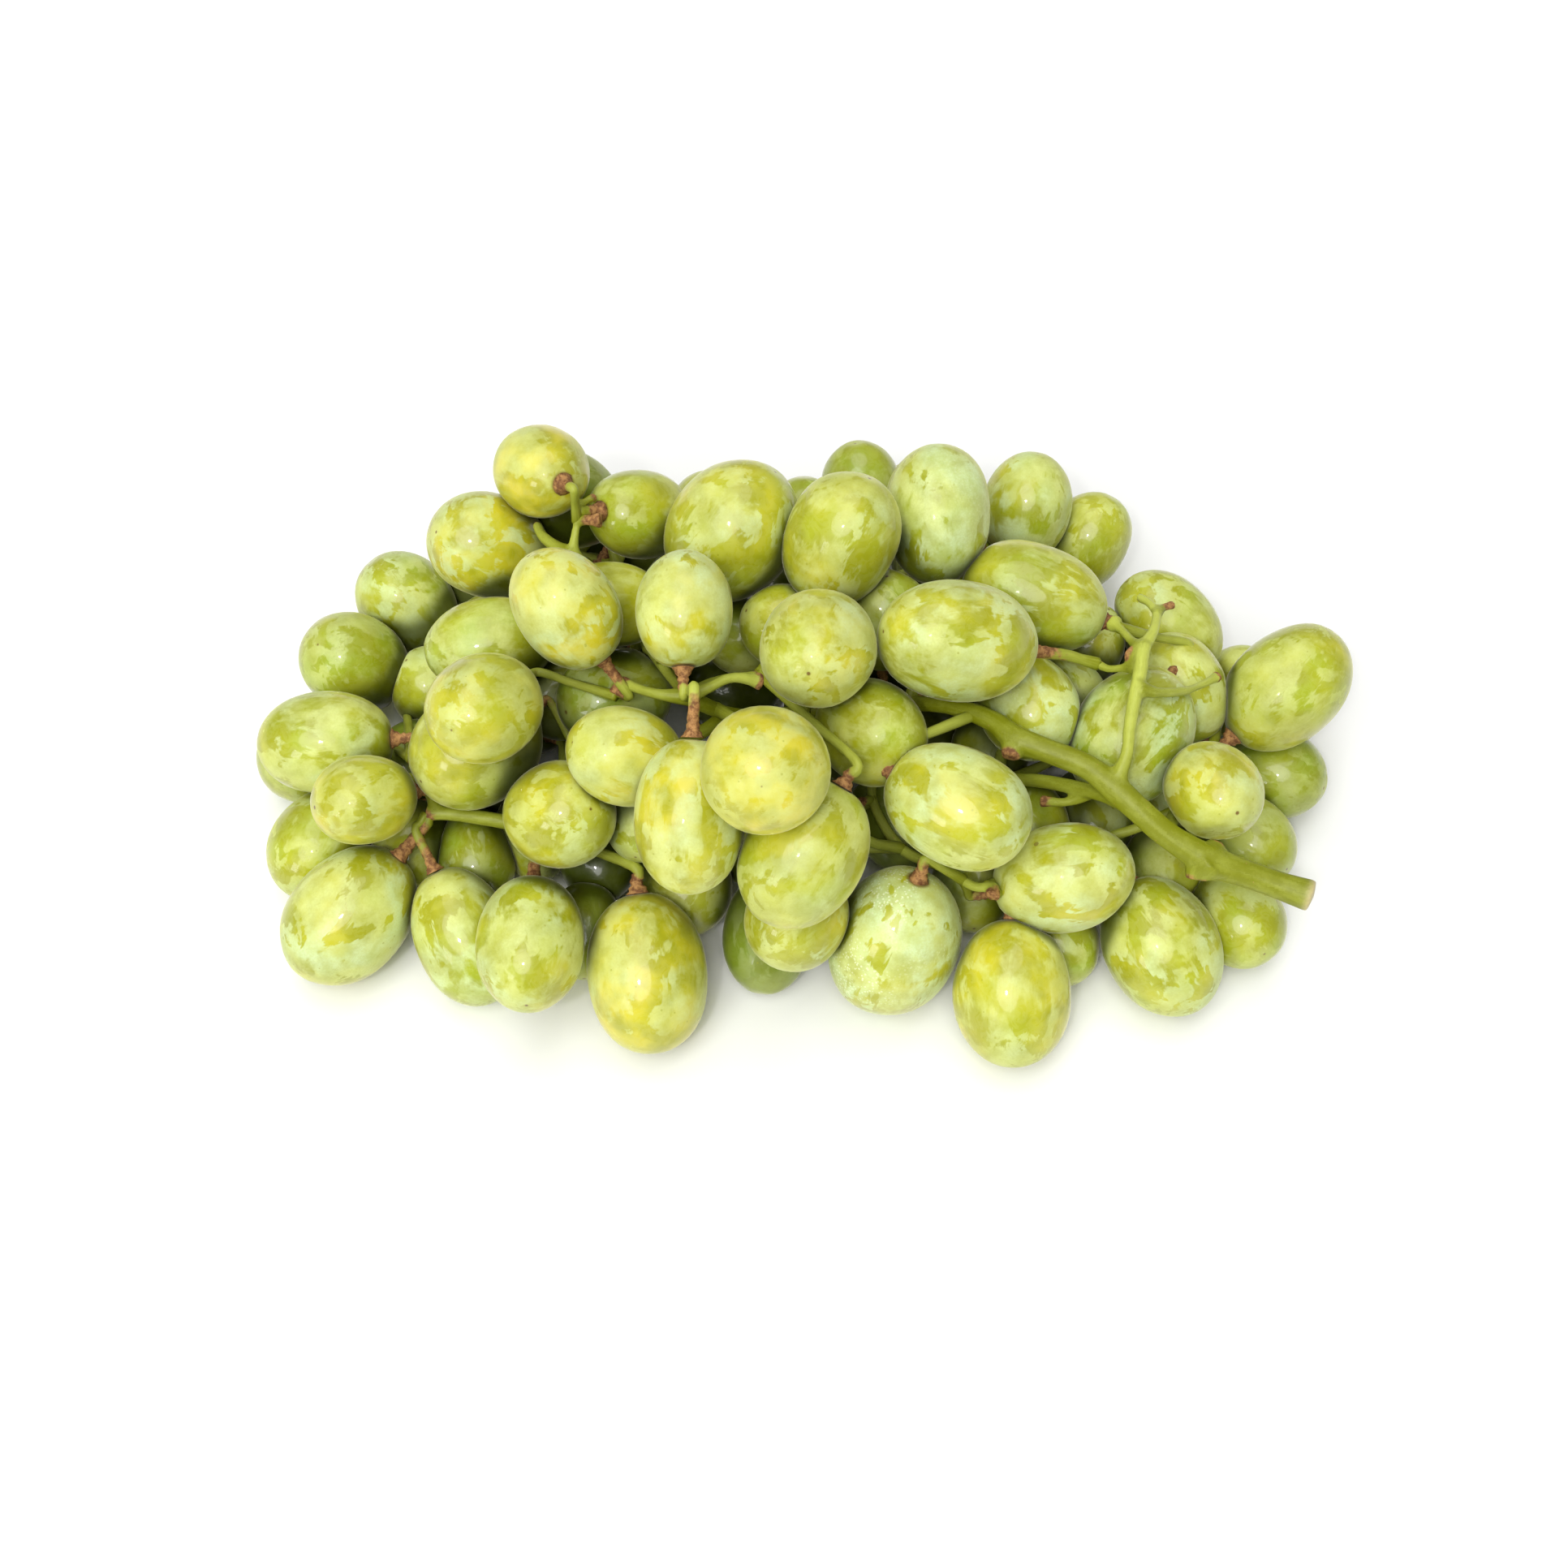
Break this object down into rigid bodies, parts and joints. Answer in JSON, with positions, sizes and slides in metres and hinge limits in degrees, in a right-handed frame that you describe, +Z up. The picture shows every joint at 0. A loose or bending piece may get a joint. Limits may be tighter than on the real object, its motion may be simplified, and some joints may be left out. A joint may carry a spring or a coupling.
{
  "type": "bunch of grapes",
  "caption": "Bunch of large oval green table grapes on a branched woody stalk, lying on its side as picked.",
  "frame": {"origin": "middle of the bounding box, on the surface that the bunch lies on", "axes": "+X along the bunch towards the cut end of the stalk, +Y to the back, +Z up from the surface"},
  "size_m": [0.234, 0.143, 0.0786],
  "materials": {
    "stalk": "fresh green stalk, faintly ribbed, with brown woody pedicel ends",
    "spray_left_low": "yellow-green berry skin with a thin waxy bloom",
    "spray_left": "yellow-green berry skin with a thin waxy bloom",
    "spray_front_left": "yellow-green berry skin with a thin waxy bloom",
    "spray_back_left": "yellow-green berry skin with a thin waxy bloom",
    "spray_front_middle": "yellow-green berry skin with a thin waxy bloom",
    "spray_back_middle": "yellow-green berry skin with a thin waxy bloom",
    "spray_front_right": "yellow-green berry skin with a thin waxy bloom",
    "spray_right": "yellow-green berry skin with a thin waxy bloom",
    "spray_back_right": "yellow-green berry skin with a thin waxy bloom"
  },
  "bodies": {
    "root": {"stalk": "stalk", "spray_left_low": "spray_left_low", "spray_left": "spray_left", "spray_front_left": "spray_front_left", "spray_back_left": "spray_back_left", "spray_front_middle": "spray_front_middle", "spray_back_middle": "spray_back_middle", "spray_front_right": "spray_front_right", "spray_right": "spray_right", "spray_back_right": "spray_back_right"}
  },
  "joints": []
}
